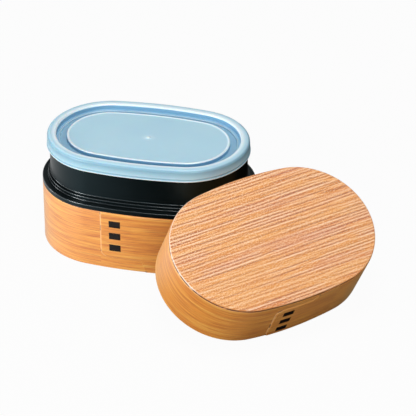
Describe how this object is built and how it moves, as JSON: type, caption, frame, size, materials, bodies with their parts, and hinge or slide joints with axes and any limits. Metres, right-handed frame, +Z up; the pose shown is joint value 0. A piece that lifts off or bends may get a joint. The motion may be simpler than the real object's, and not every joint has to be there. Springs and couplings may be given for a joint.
{
  "type": "bento lunch box",
  "caption": "Oval nesting bento lunch box, opened: wood-grain lower box with a black liner, black upper container under a blue seal lid, and a deep outer lid that leans on it.",
  "frame": {"origin": "middle of the lower box's flat base, on the surface that the box stands on", "axes": "+X along the oval's length, +Z up; the stitched front faces -Y and the outer lid leans on the +X, -Y side"},
  "size_m": [0.2694, 0.209, 0.0899],
  "materials": {
    "hoop_wood": "smooth satin varnish over fine grain that runs along the hoop",
    "board_wood": "satin varnish, straight grain along the box",
    "panel_wood": "brushed raised grain, semi-matt",
    "bark": "dark bark strip, satin",
    "black_plastic": "satin black lacquered resin",
    "dark_plastic": "matt black resin",
    "blue_plastic": "soft, slightly translucent pale blue polyethylene"
  },
  "bodies": {
    "lower_box": {"body_hoop": "hoop_wood", "body_base": "board_wood", "body_stitches": "bark", "body_liner": "black_plastic"},
    "upper_box": {"upper_container": "black_plastic"},
    "divider": {"container_divider": "dark_plastic"},
    "seal": {"seal_lid": "blue_plastic"},
    "outer_lid": {"lid_hoop": "hoop_wood", "lid_stitches": "bark", "lid_top_panel": "panel_wood"}
  },
  "joints": [
    {"name": "container_lift", "type": "slide", "parent": "lower_box", "child": "upper_box", "axis": [0, 0, 1], "range_m": [0, 0.06]},
    {"name": "divider_slide", "type": "slide", "parent": "upper_box", "child": "divider", "axis": [1, 0, 0], "range_m": [-0.02, 0.02]},
    {"name": "seal_lid_lift", "type": "slide", "parent": "upper_box", "child": "seal", "axis": [0, 0, 1], "range_m": [0, 0.04]},
    {"name": "outer_lid_lift", "type": "slide", "parent": "lower_box", "child": "outer_lid", "axis": [0, 0, 1], "range_m": [0, 0.1]}
  ]
}
